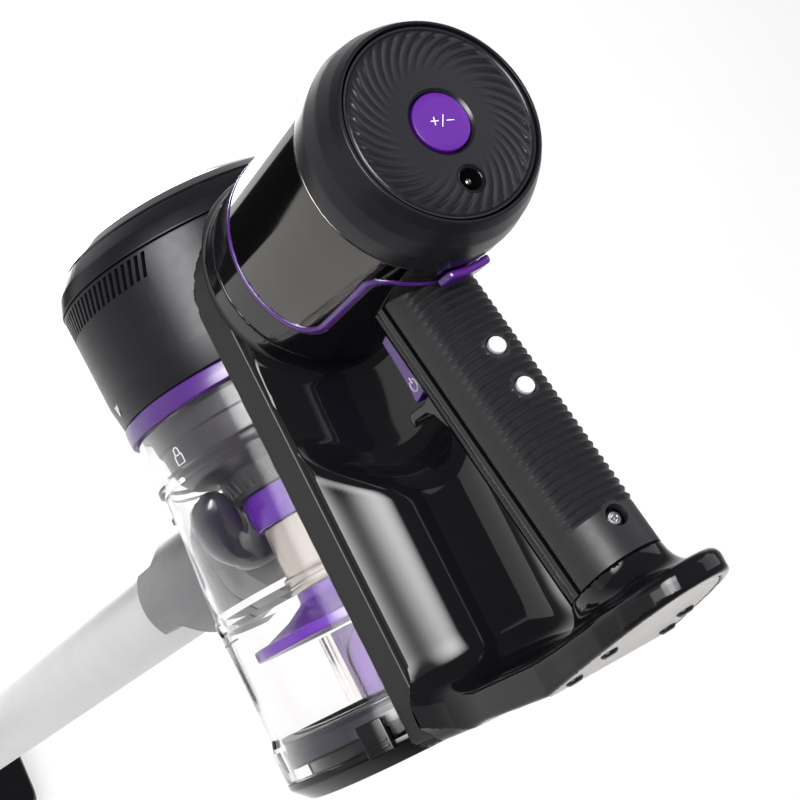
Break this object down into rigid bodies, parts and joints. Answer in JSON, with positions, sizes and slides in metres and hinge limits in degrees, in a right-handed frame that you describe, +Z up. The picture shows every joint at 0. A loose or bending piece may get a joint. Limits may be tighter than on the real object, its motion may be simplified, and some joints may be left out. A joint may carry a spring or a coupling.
{
  "type": "cordless stick vacuum",
  "caption": "Cordless stick vacuum with a gloss black hand unit, gunmetal motor barrel, purple trim, clear cyclone dust bin, ribbed grip, silver wand and a motorised floor head.",
  "frame": {"origin": "middle of the dock plate, the flat light grey face under the base foot, 30 mm along its slope", "axes": "+Z up along the wand and the motor axis, +X to the user's right, +Y towards the domed end of the dust bin; the dock plate faces -Y and slightly up"},
  "size_m": [0.224, 0.197, 1.212],
  "materials": {
    "gloss_black": "glossy",
    "satin_black": "satin",
    "grip_rubber": "matte",
    "gunmetal": "dark mirror",
    "purple": "satin",
    "clear": "clear, see-through",
    "light_grey": "matte",
    "coupling_grey": "satin",
    "wand_silver": "satin, light silver",
    "steel": "plain",
    "lens": "frosted white",
    "cell_wrap": "shrink wrap",
    "board": "solder mask",
    "filter": "pleated paper",
    "bristle": "woven strip and bristles"
  },
  "bodies": {
    "root": {"main_body": "gloss_black", "rear_cover": "gloss_black", "battery_cell_1": "cell_wrap", "battery_cell_2": "cell_wrap", "battery_cell_3": "cell_wrap", "motor_collar": "gloss_black", "trim_line": "purple", "trim_tab": "purple", "motor_cover": "gunmetal", "rear_bezel": "satin_black", "rear_grille": "satin_black", "socket_shell": "satin_black", "socket_pin": "steel", "circuit_board": "board", "motor_can": "steel", "handle_grip": "grip_rubber", "handle_front": "gloss_black", "led_lens_upper": "lens", "led_lens_lower": "lens", "handle_screw": "steel", "finger_stop": "gloss_black", "base_foot": "gloss_black", "base_plate": "light_grey", "base_screw_1": "satin_black", "base_screw_2": "satin_black", "base_screw_3": "satin_black", "base_screw_4": "satin_black", "filter_housing": "satin_black", "pre_filter": "filter"},
    "mode_key": {"mode_button": "purple"},
    "power_key": {"power_button": "purple"},
    "fan": {"motor_shaft": "steel", "impeller": "satin_black"},
    "cap": {"dome_cap": "gloss_black"},
    "ring": {"lock_ring": "purple"},
    "bin": {"dust_cup": "clear", "cyclone_shroud": "satin_black", "cyclone_collar": "purple", "vortex_tube": "clear", "cyclone_skirt": "purple", "dust_guide": "purple", "inlet_duct": "satin_black", "wand_coupling": "coupling_grey", "lid_hinge_pin": "steel"},
    "lid": {"bin_lid": "gloss_black", "lid_seal": "satin_black"},
    "latch": {"lid_latch": "satin_black"},
    "release": {"wand_release": "satin_black"},
    "wand": {"wand_tube": "wand_silver", "lower_coupling": "coupling_grey"},
    "neck": {"head_neck": "satin_black"},
    "head": {"head_housing": "gloss_black", "head_window": "clear", "sole_plate_left": "satin_black", "sole_plate_right": "satin_black", "brush_motor": "steel", "drive_belt": "grip_rubber"},
    "brush": {"brush_roll": "bristle"},
    "wheel_l": {"wheel_left": "grip_rubber"},
    "wheel_r": {"wheel_right": "grip_rubber"}
  },
  "joints": [
    {"name": "mode_press", "type": "slide", "parent": "root", "child": "mode_key", "axis": [0, 0, -1], "range_m": [0, 0.0015], "stiffness_N_per_m": 600},
    {"name": "power_press", "type": "slide", "parent": "root", "child": "power_key", "axis": [0, 0.2385, 0.9711], "range_m": [0, 0.003], "stiffness_N_per_m": 700},
    {"name": "impeller_spin", "type": "hinge", "parent": "root", "child": "fan", "pos_m": [0, 0.13748, -0.03949], "axis": [0, 0, 1], "continuous": true},
    {"name": "cap_lift", "type": "slide", "parent": "root", "child": "cap", "axis": [0, 1, 0], "range_m": [0, 0.06]},
    {"name": "ring_turn", "type": "hinge", "parent": "root", "child": "ring", "pos_m": [0, 0.12158, -0.13949], "axis": [0, 1, 0], "range_deg": [0, 20]},
    {"name": "bin_pull", "type": "slide", "parent": "root", "child": "bin", "axis": [0, -1, 0], "range_m": [0, 0.15]},
    {"name": "lid_swing", "type": "hinge", "parent": "bin", "child": "lid", "pos_m": [0.04169, 0.00338, -0.17836], "axis": [0.682, 0, 0.7314], "range_deg": [0, 100]},
    {"name": "latch_press", "type": "hinge", "parent": "bin", "child": "latch", "pos_m": [-0.04022, 0.01128, -0.10198], "axis": [-0.682, 0, -0.7314], "range_deg": [0, 12], "stiffness_Nm_per_rad": 0.6},
    {"name": "wand_release_press", "type": "slide", "parent": "bin", "child": "release", "axis": [0, -1, 0], "range_m": [0, 0.0022], "stiffness_N_per_m": 600},
    {"name": "wand_pull", "type": "slide", "parent": "bin", "child": "wand", "axis": [0, 0, -1], "range_m": [0, 0.07]},
    {"name": "head_swivel", "type": "hinge", "parent": "wand", "child": "neck", "pos_m": [0, 0.08048, -1.09949], "axis": [0, 0, 1], "range_deg": [-60, 60]},
    {"name": "head_pitch", "type": "hinge", "parent": "neck", "child": "head", "pos_m": [0, 0.08048, -1.14349], "axis": [1, 0, 0], "range_deg": [-75, 3]},
    {"name": "brush_spin", "type": "hinge", "parent": "head", "child": "brush", "pos_m": [0, 0.11648, -1.16049], "axis": [1, 0, 0], "continuous": true},
    {"name": "wheel_left_spin", "type": "hinge", "parent": "head", "child": "wheel_l", "pos_m": [-0.072, 0.03448, -1.17249], "axis": [1, 0, 0], "continuous": true},
    {"name": "wheel_right_spin", "type": "hinge", "parent": "head", "child": "wheel_r", "pos_m": [0.072, 0.03448, -1.17249], "axis": [1, 0, 0], "continuous": true}
  ]
}
